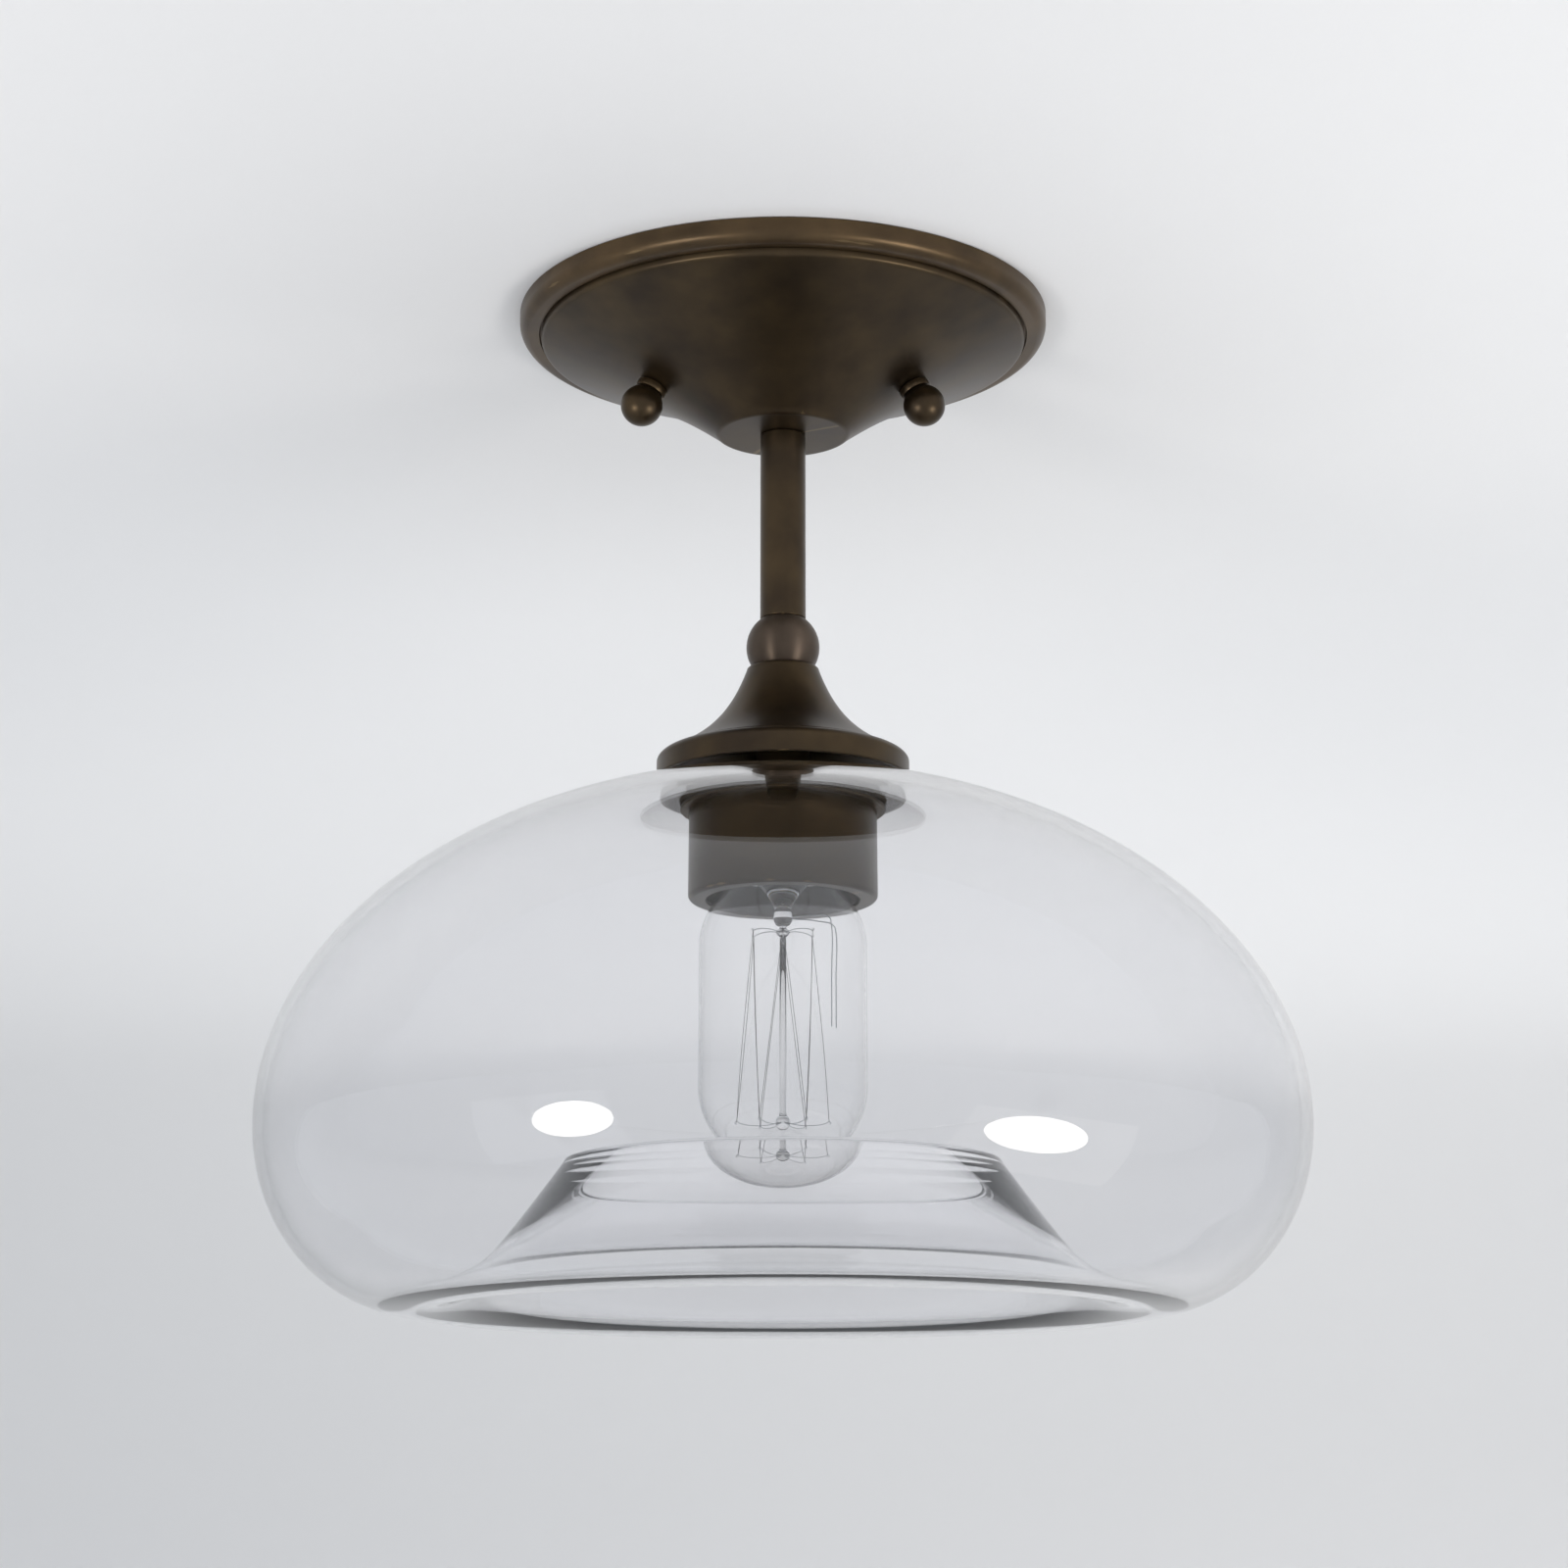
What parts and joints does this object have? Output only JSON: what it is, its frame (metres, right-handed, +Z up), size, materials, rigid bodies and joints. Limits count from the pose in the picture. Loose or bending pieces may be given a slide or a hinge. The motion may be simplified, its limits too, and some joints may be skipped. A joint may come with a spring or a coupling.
{
  "type": "globe flush mount ceiling light",
  "caption": "Short-stemmed ceiling light: round dished canopy with ball-headed screws, bell cap, clear rounded globe shade open at the bottom, and a tubular filament bulb.",
  "frame": {"origin": "centre of the box strap's screw pattern on the ceiling plane, on the light's axis", "axes": "+Z up into the ceiling along the light's axis, light hanging towards -Z; +X to the right in the picture and +Y away from its viewer; the two ball-headed screws stand at +X and -X"},
  "size_m": [0.2882, 0.2882, 0.2867],
  "materials": {
    "bronze": "dark oil-rubbed bronze lacquer, satin",
    "zinc": "bright zinc plate, satin",
    "green_screw": "green passivated steel",
    "brass": "plain brass, as rolled",
    "shade_glass": "clear blown glass, fire-polished",
    "bulb_glass": "clear thin bulb glass",
    "gasket": "matt silicone rubber",
    "porcelain": "glazed white porcelain",
    "fibre": "pressed insulating paper, matt",
    "black_glass": "black glassy insulator",
    "solder": "dull solder",
    "wire_steel": "drawn support wire",
    "filament": "dark drawn tungsten wire",
    "black_lead": "black insulation",
    "white_lead": "white insulation",
    "green_lead": "green insulation",
    "connector": "orange thermoplastic, matt"
  },
  "bodies": {
    "fixture": {"box_strap": "zinc", "canopy_bracket": "zinc", "swivel_rivet": "zinc", "ground_screw": "green_screw", "trim_ring": "bronze", "canopy_dish": "bronze", "canopy_nipple": "brass", "canopy_washer": "zinc", "canopy_nut": "zinc", "stem_tube": "bronze", "ball_coupling": "bronze", "bell_cap": "bronze", "bell_spacer": "bronze", "stepped_collar": "bronze", "lower_nipple": "bronze", "seat_gasket": "gasket", "seat_plate": "bronze", "socket_cup": "bronze", "bridge_plate": "zinc", "porcelain_ring": "porcelain", "holder_screws": "zinc", "insulating_disc": "fibre", "screw_shell": "brass", "centre_contact": "brass", "hot_lead": "black_lead", "neutral_lead": "white_lead", "ground_lead": "green_lead", "wire_connectors": "connector"},
    "shade": {"glass_shade": "shade_glass"},
    "bulb_travel": {"bulb_tip": "solder"},
    "bulb": {"bulb_glass": "bulb_glass", "bulb_cap": "brass", "bulb_insulator": "black_glass", "bulb_mount": "bulb_glass", "bulb_supports": "wire_steel", "bulb_leads": "wire_steel", "filament": "filament"},
    "left_travel": {"left_keeper": "zinc"},
    "left_screw": {"left_ball_screw": "bronze"},
    "right_travel": {"right_keeper": "zinc"},
    "right_screw": {"right_ball_screw": "bronze"}
  },
  "joints": [
    {"name": "shade_turn", "type": "hinge", "parent": "fixture", "child": "shade", "pos_m": [0, 0, -0.1432], "axis": [0, 0, 1], "continuous": true},
    {"name": "bulb_travel", "type": "slide", "parent": "fixture", "child": "bulb_travel", "axis": [0, 0, -1], "range_m": [0, 0.01455]},
    {"name": "bulb_turn", "type": "hinge", "parent": "bulb_travel", "child": "bulb", "pos_m": [0, 0, -0.1625], "axis": [0, 0, -1], "range_deg": [0, 1440]},
    {"name": "left_screw_travel", "type": "slide", "parent": "fixture", "child": "left_travel", "axis": [-0.4452, -0.089, -0.891], "range_m": [0, 0.00715]},
    {"name": "left_screw_turn", "type": "hinge", "parent": "left_travel", "child": "left_screw", "pos_m": [-0.03726, -0.00745, -0.02244], "axis": [-0.4452, -0.089, -0.891], "range_deg": [0, 3240]},
    {"name": "right_screw_travel", "type": "slide", "parent": "fixture", "child": "right_travel", "axis": [0.4452, -0.089, -0.891], "range_m": [0, 0.00715]},
    {"name": "right_screw_turn", "type": "hinge", "parent": "right_travel", "child": "right_screw", "pos_m": [0.03726, -0.00745, -0.02244], "axis": [0.4452, -0.089, -0.891], "range_deg": [0, 3240]}
  ],
  "couplings": [
    {"joint": "bulb_travel", "follows": "bulb_turn", "m_per_rad": 0.00057773},
    {"joint": "left_screw_travel", "follows": "left_screw_turn", "m_per_rad": 0.00012633},
    {"joint": "right_screw_travel", "follows": "right_screw_turn", "m_per_rad": 0.00012633}
  ]
}
